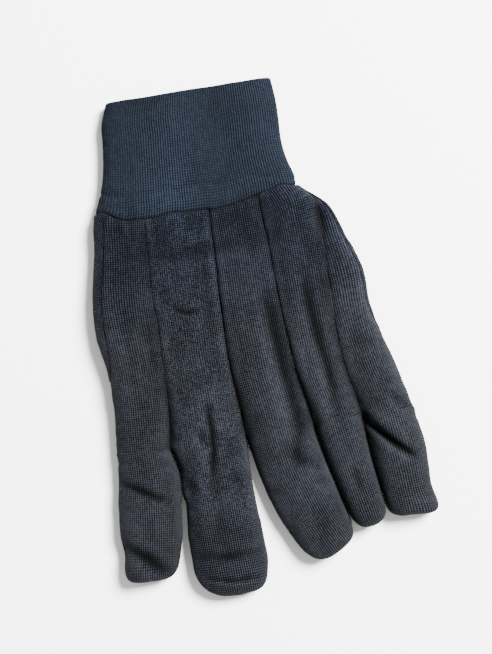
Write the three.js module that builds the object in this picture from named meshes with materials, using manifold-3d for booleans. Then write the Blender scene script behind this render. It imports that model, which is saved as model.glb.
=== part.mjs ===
// A right-hand cotton jersey work glove, lying flat on its palm with its back up.
// Millimetres, +Z up. +Y runs from the fingertips to the mouth of the cuff, and the thumb is at +X.
// The cut is the plain work glove's: one palm piece with the fronts of all five digits, a back
// strip for each digit that runs from its tip up to the wrist, and a rib-knit cuff.
import * as THREE from "three";
import { mergeVertices } from "three/addons/utils/BufferGeometryUtils.js";
import Module from "manifold-3d";

// Cloth
const CLOTH_WALL = 1.6;
const CUFF_WALL = 2.2;
const SEAM_GAP = 0.3;

// Hand, from the cuff seam to the fork between the fingers
const HAND_LENGTH = 122;
const HAND_HEIGHT = 17;
const LITTLE_SEAM_INSET = 5;
const THUMB_SEAM_INSET = 2;

// Digits: strip width at the fork, and length from the fork line to the tip
const LITTLE_WIDTH = 29.5;
const RING_WIDTH = 37.5;
const MIDDLE_WIDTH = 35;
const INDEX_WIDTH = 25.5;
const THUMB_WIDTH = 26;
const LITTLE_LENGTH = 66;
const RING_LENGTH = 79.5;
const MIDDLE_LENGTH = 70;
const INDEX_LENGTH = 57.5;
const THUMB_LENGTH = 54;
const FINGER_HEIGHT = 15.5;
const FINGER_GAP = 1;

// Cuff. The hand's width at their seam is a share of the cuff's, and the cuff draws the hand in
// this far down it.
const CUFF_LENGTH = 55;
const CUFF_WIDTH = 90;
const CUFF_FLARE = 1.122;
const CUFF_PULL = 0.25;
const CUFF_HEIGHT = 14;
const CUFF_ARCH_POWER = 3.4;
const CUFF_SOLE_POWER = 6;
const CUFF_RIBS = 56;
const RIB_DEPTH = 0.5;
const HOLLOW_SIDES = 36;

// Cross-section of a digit: height of the widest line as a share of the tube's height, how square
// the arch over it is, and the corners of the flat sole below it. side is the edge that a corner
// is on, within its distance from that edge, and up a share of the height of the widest line. The
// distances shrink on a tube whose half-width is below the narrowest.
const EQUATOR = 0.42;
const HAND_ARCH_POWER = 2.9;
const ARCH_POWER = 2.3;
const ARCH_SIDES = 12;
const SOLE = [
  { side: -1, within: 0.8, up: 0.4 },
  { side: -1, within: 2.8, up: 0.0 },
  { side: 1, within: 2.8, up: 0.0 },
  { side: 1, within: 0.8, up: 0.4 },
];
const SOLE_NARROWEST = 4;

// The body of the hand under the strips' arches: how far its edges stay inside the outline, how
// square its arch is, and how far it goes towards the fork
const BODY_INSET = 0.8;
const BODY_POWER = 5;
const BODY_SIDES = 28;
const BODY_END = 0.97;

// Colours read from the cloth
const JERSEY_COLOUR = 0x3b3e46;
const CUFF_COLOUR = 0x30343d;

// Strip widths down the hand as shares of each strip's width at the fork, from the cuff seam (0)
// to the fork line (1). The ring and middle strips meet at the glove's axis, which sways a little.
const HAND_ROWS = [
  { at: 0.0, little: 0.79, ring: 0.88, middle: 0.73, index: 0.75, thumb: 0.0, sway: 0.01 },
  { at: 0.08, little: 0.86, ring: 0.89, middle: 0.745, index: 1.06, thumb: 0.15, sway: 0.0 },
  { at: 0.25, little: 0.935, ring: 0.91, middle: 0.795, index: 1.07, thumb: 0.42, sway: -0.01 },
  { at: 0.38, little: 1.01, ring: 0.905, middle: 0.825, index: 1.04, thumb: 0.6, sway: -0.03 },
  { at: 0.53, little: 1.08, ring: 0.87, middle: 0.86, index: 1.02, thumb: 0.7, sway: -0.045 },
  { at: 0.65, little: 0.99, ring: 0.88, middle: 0.905, index: 0.975, thumb: 0.85, sway: -0.05 },
  { at: 0.78, little: 0.965, ring: 0.915, middle: 0.92, index: 0.975, thumb: 0.98, sway: -0.03 },
  { at: 0.9, little: 0.965, ring: 0.97, middle: 0.97, index: 0.985, thumb: 1.0, sway: 0.0 },
  { at: 1.0, little: 1.0, ring: 1.0, middle: 1.0, index: 1.0, thumb: 1.0, sway: 0.02 },
];

// The hand's relief over the same stretch. height is a share of the hand's height, tuck is how far
// the arches of neighbours run into each other as a share of the narrower one's half-width, and
// body is the height of the hand's body as a share of the arches'.
const RELIEF_ROWS = [
  { at: 0.0, height: 0.82, tuck: 0.5, body: 0.9 },
  { at: 0.08, height: 0.87, tuck: 0.46, body: 0.9 },
  { at: 0.25, height: 0.95, tuck: 0.4, body: 0.89 },
  { at: 0.38, height: 1.0, tuck: 0.36, body: 0.88 },
  { at: 0.53, height: 1.0, tuck: 0.3, body: 0.86 },
  { at: 0.65, height: 0.99, tuck: 0.24, body: 0.83 },
  { at: 0.78, height: 0.97, tuck: 0.17, body: 0.78 },
  { at: 0.9, height: 0.94, tuck: 0.09, body: 0.66 },
  { at: 1.0, height: 0.91, tuck: 0.0, body: 0.45 },
];

// The thumb's arch starts this share down the hand, at this share of its height, and reaches its
// full height after this many stations
const THUMB_START = 0.1;
const THUMB_START_HEIGHT = 0.75;
const THUMB_RISE_STATIONS = 4;

// Finger widths from the fork (0) towards the tip as shares of the strip's width at the fork
const FINGER_ROWS = [
  { at: 0.0, little: 1.0, ring: 1.0, middle: 1.0, index: 1.0, thumb: 1.0 },
  { at: 0.2, little: 1.05, ring: 0.985, middle: 0.985, index: 0.9, thumb: 1.02 },
  { at: 0.4, little: 1.13, ring: 0.985, middle: 0.985, index: 0.84, thumb: 1.03 },
  { at: 0.6, little: 1.12, ring: 1.03, middle: 0.98, index: 0.81, thumb: 1.0 },
  { at: 0.8, little: 1.05, ring: 1.05, middle: 0.9, index: 0.79, thumb: 0.96 },
  { at: 1.0, little: 0.98, ring: 1.0, middle: 0.84, index: 0.78, thumb: 0.94 },
];

// The digits from the little finger to the thumb. lean is the angle from the fork to the tip and
// start the angle at the fork, in degrees towards the thumb. blunt is how square the tip is.
const DIGITS = [
  { name: "little", width: LITTLE_WIDTH, length: LITTLE_LENGTH, lean: -6.6, start: -1, blunt: 3.4 },
  { name: "ring", width: RING_WIDTH, length: RING_LENGTH, lean: 0.8, start: 0.5, blunt: 2.5 },
  { name: "middle", width: MIDDLE_WIDTH, length: MIDDLE_LENGTH, lean: 17.2, start: 5, blunt: 3 },
  { name: "index", width: INDEX_WIDTH, length: INDEX_LENGTH, lean: 9.6, start: 6, blunt: 2.6 },
  { name: "thumb", width: THUMB_WIDTH, length: THUMB_LENGTH, lean: 4.6, start: 5.5, blunt: 3.4 },
];

// A digit's tip is rounded over this share of its width, its last section stands this far round
// the curve, and its height settles over this share of its length
const TIP_SHARE = 0.42;
const TIP_TURN = 0.97 * (Math.PI / 2);
const SETTLE_SHARE = 0.25;

// Folds and dents pressed into the back. from and to are [across, along] on a digit's strip:
// across is -1 at its little-finger edge and 1 at its thumb edge, and along is a share of the
// digit's length, or of the hand's where it is below 0. width and depth are shares of the
// finger's height.
const FOLDS = [
  { digit: "little", from: [-0.9, 0.16], to: [0.8, 0.36], width: 0.28, depth: 0.14 },
  { digit: "little", from: [-0.9, 0.66], to: [0.8, 0.84], width: 0.26, depth: 0.2 },
  { digit: "ring", from: [0.05, -0.1], to: [0.05, 0.18], width: 0.3, depth: 0.1 },
  { digit: "middle", from: [0.3, -0.3], to: [0.1, 0.16], width: 0.5, depth: 0.14 },
  { digit: "middle", from: [-0.3, 0.2], to: [0.8, 0.26], width: 0.32, depth: 0.1 },
  { digit: "index", from: [0.0, -0.2], to: [0.1, 0.06], width: 0.45, depth: 0.12 },
  { digit: "thumb", from: [-1.0, 0.04], to: [0.5, 0.42], width: 0.36, depth: 0.28 },
  { digit: "thumb", from: [-0.4, -0.86], to: [0.1, -0.72], width: 0.6, depth: 0.14 },
];

// The cuff from the hand (0) to its mouth (1): left and right edges as shares of its width, from
// the glove's axis, grip is how far it follows the hand's own width, and height a share.
const CUFF_ROWS = [
  { at: 0.0, left: -0.56, right: 0.49, grip: 1.0, height: 1.0 },
  { at: 0.1, left: -0.56, right: 0.49, grip: 0.35, height: 1.0 },
  { at: 0.25, left: -0.54, right: 0.48, grip: 0.0, height: 0.97 },
  { at: 0.45, left: -0.528, right: 0.47, grip: 0.0, height: 0.95 },
  { at: 0.65, left: -0.53, right: 0.475, grip: 0.0, height: 0.93 },
  { at: 0.82, left: -0.525, right: 0.475, grip: 0.0, height: 0.93 },
  { at: 1.0, left: -0.49, right: 0.465, grip: 0.0, height: 0.9 },
];

// Sections along the hand, a finger and its tip, corners of the cuff's outline before its ribs,
// and steps along the lines between the strips
const HAND_STATIONS = 9;
const FINGER_STATIONS = 9;
const TIP_STATIONS = 4;
const CUFF_CORNERS = 72;
const REGION_STEP = 6;
const EDGE_STEP = 0.1;

// The side seams leave the back between these shares down the hand and end this far outside it
const SEAM_DROP_START = 0.5;
const SEAM_DROP_END = 0.85;
const SEAM_DROP_OUT = 2.5;

// The back strips lie above this height, up to past the top of the glove
const SPLIT_HEIGHT = EQUATOR * FINGER_HEIGHT;
const CLEAR_ABOVE = 2 * HAND_HEIGHT;

// Corners closer together than these are merged: before a cut and after it
const SAME_POINT = 1e-4;
const MERGE_WITHIN = 0.03;

const wasm = await Module();
wasm.setup();

// A column of a table at any share between its rows, on a smooth curve through them
function column(rows, name, at) {
  const last = rows.length - 1;
  let i = 0;
  while (i < last - 1 && at > rows[i + 1].at) i += 1;
  const slope = (k) => {
    const a = rows[Math.max(k - 1, 0)];
    const b = rows[Math.min(k + 1, last)];
    return (b[name] - a[name]) / (b.at - a.at);
  };
  const span = rows[i + 1].at - rows[i].at;
  const t = THREE.MathUtils.clamp((at - rows[i].at) / span, 0, 1);
  const [t2, t3] = [t * t, t * t * t];
  return (
    rows[i][name] * (2 * t3 - 3 * t2 + 1) +
    rows[i + 1][name] * (3 * t2 - 2 * t3) +
    span * (slope(i) * (t3 - 2 * t2 + t) + slope(i + 1) * (t3 - t2))
  );
}

// X of the six lines between and beside the strips at a share down the hand: the little-finger
// side, the four seams, and the thumb side
function stripEdges(at) {
  const widths = (share) => DIGITS.map((d) => d.width * Math.max(column(HAND_ROWS, d.name, share), 0));
  const wrist = widths(0).reduce((sum, w) => sum + w, 0);
  const pull = 1 - THREE.MathUtils.smoothstep(at, 0, CUFF_PULL);
  const squeeze = THREE.MathUtils.lerp(1, (CUFF_FLARE * CUFF_WIDTH) / wrist, pull);
  const width = widths(at).map((w) => w * squeeze);
  const axis = column(HAND_ROWS, "sway", at) * RING_WIDTH;
  return [
    axis - width[1] - width[0],
    axis - width[1],
    axis,
    axis + width[2],
    axis + width[2] + width[3],
    axis + width[2] + width[3] + width[4],
  ];
}

// How far the arches on both sides of edge k run past it into each other
function overlap(edges, k, at) {
  if (k === 0 || k === DIGITS.length) return 0;
  const narrower = Math.min(edges[k] - edges[k - 1], edges[k + 1] - edges[k]);
  return (column(RELIEF_ROWS, "tuck", at) * narrower) / 2;
}

// Height of the strips' arches at a share down the hand
function handHeight(at) {
  return column(RELIEF_ROWS, "height", at) * HAND_HEIGHT;
}

// The finger's centre line: a curve from the middle of its strip at the fork out to its tip
function fingerLine(i) {
  const { length, lean, start } = DIGITS[i];
  const edges = stripEdges(1);
  const root = new THREE.Vector2((edges[i] + edges[i + 1]) / 2, -HAND_LENGTH);
  const step = (angle, distance) => {
    const a = THREE.MathUtils.degToRad(angle);
    return root.clone().add(new THREE.Vector2(Math.sin(a), -Math.cos(a)).multiplyScalar(distance));
  };
  return new THREE.QuadraticBezierCurve(root, step(start, length / 2), step(lean, length));
}

// Rounds a digit off towards its tip: 1 along the finger, 0 at the tip
function roundOff(fromTip, reach, power) {
  const t = THREE.MathUtils.clamp(1 - fromTip / reach, 0, 1);
  return Math.pow(Math.max(1 - Math.pow(t, power), 0), 1 / power);
}

// The cross-sections of one digit's tube, from the wrist to the tip. inset moves the walls in, for
// the hollow.
function digitSections(i, inset) {
  const { name, width, length, blunt } = DIGITS[i];
  const sections = [];
  const isThumb = name === "thumb";
  const firstShare = isThumb ? THUMB_START + inset / HAND_LENGTH : 0;
  for (let s = 0; s <= HAND_STATIONS; s += 1) {
    const at = THREE.MathUtils.lerp(firstShare, 1, s / HAND_STATIONS);
    const edges = stripEdges(at);
    const half = (edges[i + 1] - edges[i]) / 2;
    const grown = isThumb ? Math.min(s / THUMB_RISE_STATIONS, 1) : 1;
    sections.push({
      x: (edges[i] + edges[i + 1]) / 2,
      y: Math.min(-at * HAND_LENGTH, -SEAM_GAP / 2),
      heading: 0,
      left: half + overlap(edges, i, at) - inset,
      right: half + overlap(edges, i + 1, at) - inset,
      height: handHeight(at) * THREE.MathUtils.lerp(THUMB_START_HEIGHT, 1, grown),
      power: THREE.MathUtils.lerp(HAND_ARCH_POWER, ARCH_POWER, at),
      inset,
      round: 1,
    });
  }
  const line = fingerLine(i);
  const reach = TIP_SHARE * width;
  const shares = [];
  const straight = 1 - reach / length;
  const end = 1 - inset / length;
  for (let s = 1; s <= FINGER_STATIONS; s += 1) shares.push((straight * s) / FINGER_STATIONS);
  for (let s = 1; s <= TIP_STATIONS; s += 1) {
    const turn = (s / TIP_STATIONS) * TIP_TURN;
    shares.push(straight + (end - straight) * Math.sin(turn));
  }
  for (const share of shares) {
    const centre = line.getPoint(share);
    const tangent = line.getTangent(share);
    const half = (width * column(FINGER_ROWS, name, share) - FINGER_GAP) / 2;
    const round = roundOff((end - share) * length, reach - inset, blunt);
    const settled = Math.min(share / SETTLE_SHARE, 1);
    sections.push({
      x: centre.x,
      y: centre.y,
      heading: Math.atan2(tangent.x, -tangent.y),
      left: (half - inset) * round,
      right: (half - inset) * round,
      height: THREE.MathUtils.lerp(handHeight(1), FINGER_HEIGHT, settled),
      power: ARCH_POWER,
      inset,
      round,
    });
  }
  return sections;
}

// The body of the hand, which joins the digits' tubes into one hollow
function bodySections(inset) {
  return HAND_ROWS.map(({ at }) => {
    const share = Math.min(at, BODY_END - inset / HAND_LENGTH);
    const edges = stripEdges(share);
    const half = (edges[DIGITS.length] - edges[0]) / 2 - BODY_INSET - inset;
    return {
      x: (edges[0] + edges[DIGITS.length]) / 2,
      y: Math.min(-share * HAND_LENGTH, -SEAM_GAP / 2),
      heading: 0,
      left: half,
      right: half,
      height: handHeight(share) * column(RELIEF_ROWS, "body", share),
      power: BODY_POWER,
      inset,
      round: 1,
    };
  });
}

// The place of a fold's end on the glove
function foldPoint({ digit }, [across, along]) {
  const i = DIGITS.findIndex((d) => d.name === digit);
  if (along < 0) {
    const edges = stripEdges(1 + along);
    const half = (edges[i + 1] - edges[i]) / 2;
    return new THREE.Vector2((edges[i] + edges[i + 1]) / 2 + across * half, -(1 + along) * HAND_LENGTH);
  }
  const line = fingerLine(i);
  const tangent = line.getTangent(along);
  const side = new THREE.Vector2(-tangent.y, tangent.x).multiplyScalar((across * DIGITS[i].width) / 2);
  return line.getPoint(along).add(side);
}

// Depth of the folds pressed into the back at a place
function foldDepth(x, y) {
  return FOLD_LINES.reduce((depth, { a, b, width, press }) => {
    const ab = b.clone().sub(a);
    const ap = new THREE.Vector2(x, y).sub(a);
    const t = THREE.MathUtils.clamp(ap.dot(ab) / ab.lengthSq(), 0, 1);
    const away = ap.addScaledVector(ab, -t).length() / width;
    return depth + press * Math.exp(-away * away);
  }, 0);
}
const FOLD_LINES = FOLDS.map((fold) => ({
  a: foldPoint(fold, fold.from),
  b: foldPoint(fold, fold.to),
  width: fold.width * FINGER_HEIGHT,
  press: fold.depth * FINGER_HEIGHT,
}));

// The points of one cross-section: the arch from its thumb side over to the other, then the sole
function ring({ x, y, heading, left, right, height, power, inset, round }, sides) {
  const equator = EQUATOR * height;
  const arch = height - equator - inset;
  const corners = [];
  for (let k = 0; k <= sides; k += 1) {
    const angle = (Math.PI * k) / sides;
    const [c, s] = [Math.cos(angle), Math.sin(angle)];
    const across = Math.sign(c) * Math.pow(Math.abs(c), 2 / power);
    corners.push({ across, up: Math.pow(Math.max(s, 0), 2 / power) * arch, fold: s });
  }
  for (const { side, within, up } of SOLE) {
    const half = Math.max(side < 0 ? left : right, SOLE_NARROWEST);
    const share = within / half;
    corners.push({ across: side * (1 - share), up: -(1 - up) * (equator - inset), fold: 0 });
  }
  return corners.map(({ across, up, fold }) => {
    const u = across * (across < 0 ? left : right);
    const place = new THREE.Vector3(x + u * Math.cos(heading), y + u * Math.sin(heading), 0);
    place.z = equator + up * round - fold * round * foldDepth(place.x, place.y);
    return place;
  });
}

// A copy of a tube's end ring at another Y, which carries a hollow out past the end of the cloth
function carriedOut(points, y) {
  return points.map((p) => new THREE.Vector3(p.x, y, p.z));
}

// A closed surface through rings of equally many points, with a fan over each end
function loft(rings) {
  const sides = rings[0].length;
  const positions = [];
  const face = (a, b, c) => positions.push(...a.toArray(), ...b.toArray(), ...c.toArray());
  const middle = (points) =>
    points.reduce((sum, p) => sum.add(p), new THREE.Vector3()).divideScalar(points.length);
  const [first, last] = [rings[0], rings[rings.length - 1]];
  const [firstMiddle, lastMiddle] = [middle(first), middle(last)];
  for (let k = 0; k < sides; k += 1) {
    const next = (k + 1) % sides;
    face(firstMiddle, first[next], first[k]);
    face(lastMiddle, last[k], last[next]);
    for (let r = 0; r + 1 < rings.length; r += 1) {
      face(rings[r][k], rings[r][next], rings[r + 1][next]);
      face(rings[r][k], rings[r + 1][next], rings[r + 1][k]);
    }
  }
  const geometry = new THREE.BufferGeometry();
  geometry.setAttribute("position", new THREE.Float32BufferAttribute(positions, 3));
  return geometry;
}

// A closed geometry as a solid that can be cut and joined
function solid(geometry) {
  const bare = geometry.index ? geometry.toNonIndexed() : geometry.clone();
  bare.deleteAttribute("normal");
  bare.deleteAttribute("uv");
  const merged = mergeVertices(bare, SAME_POINT);
  const mesh = new wasm.Mesh({
    numProp: 3,
    vertProperties: merged.attributes.position.array,
    triVerts: new Uint32Array(merged.index.array),
  });
  return new wasm.Manifold(mesh);
}

// A solid as a named mesh, without the slivers that cutting leaves
function meshOf(name, body, material) {
  const { vertProperties, triVerts } = body.asOriginal().simplify(MERGE_WITHIN).getMesh();
  const geometry = new THREE.BufferGeometry();
  geometry.setAttribute("position", new THREE.Float32BufferAttribute(vertProperties, 3));
  geometry.setIndex(new THREE.Uint32BufferAttribute(triVerts, 1));
  geometry.computeVertexNormals();
  const mesh = new THREE.Mesh(geometry, material);
  mesh.name = name;
  return mesh;
}

// The hand and all five digits joined, as the glove's outside or as its hollow
function handSolid(inset) {
  const tubeOf = (sections, sides) => {
    const rings = sections.map((section) => ring(section, sides));
    const open = inset > 0 && rings[0][0].y > -SEAM_GAP;
    return solid(loft(open ? [carriedOut(rings[0], CUFF_WALL), ...rings] : rings));
  };
  return DIGITS.reduce(
    (joined, digit, i) => joined.add(tubeOf(digitSections(i, inset), ARCH_SIDES)),
    tubeOf(bodySections(inset), BODY_SIDES),
  );
}

// X of a digit's edge at any Y, on its little-finger side (-1) or its thumb side (1)
function edgeX(i, side, y) {
  const at = -y / HAND_LENGTH;
  if (at <= 1) return stripEdges(at)[side < 0 ? i : i + 1];
  const { name, width } = DIGITS[i];
  const line = fingerLine(i);
  let [before, after] = [null, null];
  for (let share = 0; share <= 1; share += EDGE_STEP) {
    const tangent = line.getTangent(share);
    const half = (width * column(FINGER_ROWS, name, share)) / 2;
    const across = new THREE.Vector2(-tangent.y, tangent.x).multiplyScalar(side * half);
    [before, after] = [after, line.getPoint(share).add(across)];
    if (before && after.y < y) break;
  }
  const t = THREE.MathUtils.clamp((y - before.y) / (after.y - before.y), 0, 1);
  return THREE.MathUtils.lerp(before.x, after.x, t);
}

// X of the line between digits k - 1 and k: the seam down the hand, and beyond the fork the middle
// of the gap between the fingers. Lines 0 and 5 are the side seams, which lie on the back by the
// hand's edge and drop to the side of the finger beyond it.
function dividingLine(k, y) {
  const drop = THREE.MathUtils.smoothstep(-y / HAND_LENGTH, SEAM_DROP_START, SEAM_DROP_END);
  const inset = (start) => THREE.MathUtils.lerp(start, -SEAM_DROP_OUT, drop);
  const thumbSeam = edgeX(DIGITS.length - 1, 1, y) - inset(THUMB_SEAM_INSET);
  if (k === 0) return edgeX(0, -1, y) + inset(LITTLE_SEAM_INSET);
  if (k === DIGITS.length) return thumbSeam;
  return Math.min((edgeX(k - 1, 1, y) + edgeX(k, -1, y)) / 2, thumbSeam);
}

// The space above the side seam that belongs to digit i's back strip, grown by a margin
function stripRegion(i, margin) {
  const end = -(HAND_LENGTH + RING_LENGTH + 2 * REGION_STEP);
  const near = [];
  const far = [];
  for (let y = SEAM_GAP; y > end; y -= REGION_STEP) {
    const left = dividingLine(i, y) - margin;
    const right = dividingLine(i + 1, y) + margin;
    if (right - left < CLOTH_WALL) continue;
    near.push(new THREE.Vector2(left, y));
    far.unshift(new THREE.Vector2(right, y));
  }
  const region = new THREE.ExtrudeGeometry(new THREE.Shape([...near, ...far]), {
    depth: CLEAR_ABOVE,
    bevelEnabled: false,
  });
  return solid(region.translate(0, 0, SPLIT_HEIGHT - margin));
}

// The outline of the cuff at a share of its length, as evenly spaced points
function cuffRing(at, inset, sides) {
  const edges = stripEdges(0);
  const grip = column(CUFF_ROWS, "grip", at);
  const left = THREE.MathUtils.lerp(column(CUFF_ROWS, "left", at) * CUFF_WIDTH, edges[0], grip);
  const right = THREE.MathUtils.lerp(column(CUFF_ROWS, "right", at) * CUFF_WIDTH, edges[4], grip);
  const height = column(CUFF_ROWS, "height", at) * CUFF_HEIGHT;
  const equator = EQUATOR * height;
  const half = (right - left) / 2 - inset;
  const points = [];
  for (let k = 0; k < CUFF_CORNERS; k += 1) {
    const angle = (2 * Math.PI * k) / CUFF_CORNERS;
    const [c, s] = [Math.cos(angle), Math.sin(angle)];
    const power = s > 0 ? CUFF_ARCH_POWER : CUFF_SOLE_POWER;
    const across = Math.sign(c) * Math.pow(Math.abs(c), 2 / power);
    const up = Math.sign(s) * Math.pow(Math.abs(s), 2 / power);
    const vertical = (s > 0 ? height - equator : equator) - inset;
    const x = (left + right) / 2 + across * half;
    points.push(new THREE.Vector3(x, at * CUFF_LENGTH, equator + up * vertical));
  }
  return new THREE.CatmullRomCurve3(points, true).getSpacedPoints(sides).slice(0, sides);
}

// The cuff: a flat tube with ribs along its outside, open at both ends
function makeCuff(material) {
  const ringsOf = (inset, sides) => CUFF_ROWS.map(({ at }) => cuffRing(at, inset, sides)).reverse();
  const grooves = ringsOf(RIB_DEPTH, 2 * CUFF_RIBS);
  const outside = ringsOf(0, 2 * CUFF_RIBS).map((points, r) =>
    points.map((p, k) => (k % 2 ? grooves[r][k] : p)),
  );
  const [mouth, ...rest] = ringsOf(CUFF_WALL, HOLLOW_SIDES);
  const hollow = [
    carriedOut(mouth, CUFF_LENGTH + CUFF_WALL),
    mouth,
    ...rest,
    carriedOut(rest[rest.length - 1], -CUFF_WALL),
  ];
  for (const p of outside[outside.length - 1]) p.y += SEAM_GAP / 2;
  return meshOf("cuff", solid(loft(outside)).subtract(solid(loft(hollow))), material);
}

const jersey = new THREE.MeshStandardMaterial({ color: JERSEY_COLOUR, roughness: 0.95, metalness: 0 });
const ribKnit = new THREE.MeshStandardMaterial({ color: CUFF_COLOUR, roughness: 0.95, metalness: 0 });

const shell = handSolid(0).subtract(handSolid(CLOTH_WALL));
const glove = new THREE.Group();

let palm = shell;
DIGITS.forEach(({ name }, i) => {
  const strip = shell.intersect(stripRegion(i, -SEAM_GAP / 2));
  glove.add(meshOf(`back_${name}`, strip, jersey));
  palm = palm.subtract(stripRegion(i, SEAM_GAP / 2));
});
glove.add(meshOf("palm", palm, jersey));
glove.add(makeCuff(ribKnit));

// The origin is under the middle of the glove, on the surface that it lies on
const box = new THREE.Box3().setFromObject(glove);
glove.position.set(-(box.min.x + box.max.x) / 2, -(box.min.y + box.max.y) / 2, -box.min.z);

export default glove;
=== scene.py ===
import math

import bpy
import numpy as np
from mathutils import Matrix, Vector


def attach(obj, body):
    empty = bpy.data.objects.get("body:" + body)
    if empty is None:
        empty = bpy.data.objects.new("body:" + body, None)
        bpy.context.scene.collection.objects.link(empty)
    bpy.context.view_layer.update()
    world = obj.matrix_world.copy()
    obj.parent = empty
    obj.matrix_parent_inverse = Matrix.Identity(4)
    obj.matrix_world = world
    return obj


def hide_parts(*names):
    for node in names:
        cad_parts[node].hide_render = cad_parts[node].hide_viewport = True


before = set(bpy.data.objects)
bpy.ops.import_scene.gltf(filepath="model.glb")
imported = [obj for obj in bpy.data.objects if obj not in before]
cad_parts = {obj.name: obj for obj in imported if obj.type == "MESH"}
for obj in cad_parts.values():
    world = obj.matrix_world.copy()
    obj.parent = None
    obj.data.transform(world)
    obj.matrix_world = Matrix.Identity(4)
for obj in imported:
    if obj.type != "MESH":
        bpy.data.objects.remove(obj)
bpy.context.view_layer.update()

MM = 0.001

# Sizes repeated from the CAD
CLOTH_WALL = 1.6
CUFF_WALL = 2.2
HAND_LENGTH = 122.0
HAND_HEIGHT = 17.0
LITTLE_SEAM_INSET = 5.0
THUMB_SEAM_INSET = 2.0
FINGER_HEIGHT = 15.5
CUFF_LENGTH = 55.0
CUFF_WIDTH = 90.0
CUFF_HEIGHT = 14.0
EQUATOR = 0.42
SPLIT_HEIGHT = EQUATOR * FINGER_HEIGHT
HAND_ARCH_POWER = 2.9
ARCH_POWER = 2.3
TIP_SHARE = 0.42
SETTLE_SHARE = 0.25
BODY_INSET = 0.8
BODY_POWER = 5.0
BODY_END = 0.97
THUMB_START = 0.1
THUMB_START_HEIGHT = 0.75
SEAM_DROP_START = 0.5
SEAM_DROP_END = 0.85
SEAM_DROP_OUT = 2.5

# Down the hand: strip widths as shares of each strip's width at the fork, the axis's sway, the
# height, how far each arch tucks into the next one, and the height of the body within the arches
HAND_ROWS = {
    "at": [0.0, 0.08, 0.25, 0.38, 0.53, 0.65, 0.78, 0.9, 1.0],
    "little": [0.79, 0.86, 0.935, 1.01, 1.08, 0.99, 0.965, 0.965, 1.0],
    "ring": [0.88, 0.89, 0.91, 0.905, 0.87, 0.88, 0.915, 0.97, 1.0],
    "middle": [0.73, 0.745, 0.795, 0.825, 0.86, 0.905, 0.92, 0.97, 1.0],
    "index": [0.75, 1.06, 1.07, 1.04, 1.02, 0.975, 0.975, 0.985, 1.0],
    "thumb": [0.0, 0.15, 0.42, 0.6, 0.7, 0.85, 0.98, 1.0, 1.0],
    "sway": [0.01, 0.0, -0.01, -0.03, -0.045, -0.05, -0.03, 0.0, 0.02],
    "height": [0.82, 0.87, 0.95, 1.0, 1.0, 0.99, 0.97, 0.94, 0.91],
    "tuck": [0.5, 0.46, 0.4, 0.36, 0.3, 0.24, 0.17, 0.09, 0.0],
    "body": [0.9, 0.9, 0.89, 0.88, 0.86, 0.83, 0.78, 0.66, 0.45],
}

# Finger widths from the fork to the tip as shares of the strip's width at the fork
FINGER_ROWS = {
    "at": [0.0, 0.2, 0.4, 0.6, 0.8, 1.0],
    "little": [1.0, 1.05, 1.13, 1.12, 1.05, 0.98],
    "ring": [1.0, 0.985, 0.985, 1.03, 1.05, 1.0],
    "middle": [1.0, 0.985, 0.985, 0.98, 0.9, 0.84],
    "index": [1.0, 0.9, 0.84, 0.81, 0.79, 0.78],
    "thumb": [1.0, 1.02, 1.03, 1.0, 0.96, 0.94],
}

# The digits: strip width at the fork, length from there to the tip, angle from the fork to the tip,
# angle at the fork, and how square the tip is
DIGITS = [
    {"name": "little", "width": 29.5, "length": 66.0, "lean": -6.6, "start": -1.0, "blunt": 3.4},
    {"name": "ring", "width": 37.5, "length": 79.5, "lean": 0.8, "start": 0.5, "blunt": 2.5},
    {"name": "middle", "width": 35.0, "length": 70.0, "lean": 17.2, "start": 5.0, "blunt": 3.0},
    {"name": "index", "width": 25.5, "length": 57.5, "lean": 9.6, "start": 6.0, "blunt": 2.6},
    {"name": "thumb", "width": 26.0, "length": 54.0, "lean": 4.6, "start": 5.5, "blunt": 3.4},
]
MIDDLE = 2

# Regions of the cloth's surface: the back strips are 0 to 4, the palm comes next
PALM = len(DIGITS)
ABOVE_WRIST = -1

# The six lines beside and between the strips, and those with a strip on both sides
LINES = range(PALM + 1)
INNER_LINES = range(1, PALM)

# The cuff from the hand to its mouth: edges and height as shares, and how far it follows the hand
CUFF_ROWS = {
    "at": [0.0, 0.1, 0.25, 0.45, 0.65, 0.82, 1.0],
    "left": [-0.56, -0.585, -0.578, -0.555, -0.54, -0.53, -0.49],
    "right": [0.49, 0.49, 0.48, 0.47, 0.475, 0.475, 0.465],
    "grip": [1.0, 0.35, 0.0, 0.0, 0.0, 0.0, 0.0],
    "height": [1.0, 1.0, 0.97, 0.95, 0.93, 0.93, 0.9],
}

# Where the glove's own frame lies in the CAD's
GLOVE_X = -9.083
GLOVE_Y = 73.254

# The scene's own values: the gap between fingers, how far round its curve a tip's last section
# stands, how square the tubes' soles are, and, as shares of the hand's length, where the tubes start
# and over what the thumb's arch rises
FINGER_GAP = 0.4
TIP_TURN = 0.995 * (math.pi / 2)
SOLE_POWER = 4.6
TUBE_START = -0.03
THUMB_RISE = 0.4

# While the hand is meshed, neighbouring digits are held this much apart beyond the fork, so that
# they can touch without growing together
APART = 3.2
APART_REACH = 6.0

# Fineness of the hand's mesh, and of the tubes that it is made from
VOXEL = 0.87
TUBE_SIDES = 56
HAND_STATIONS = 36
FINGER_STATIONS = 26
TIP_STATIONS = 12


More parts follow.
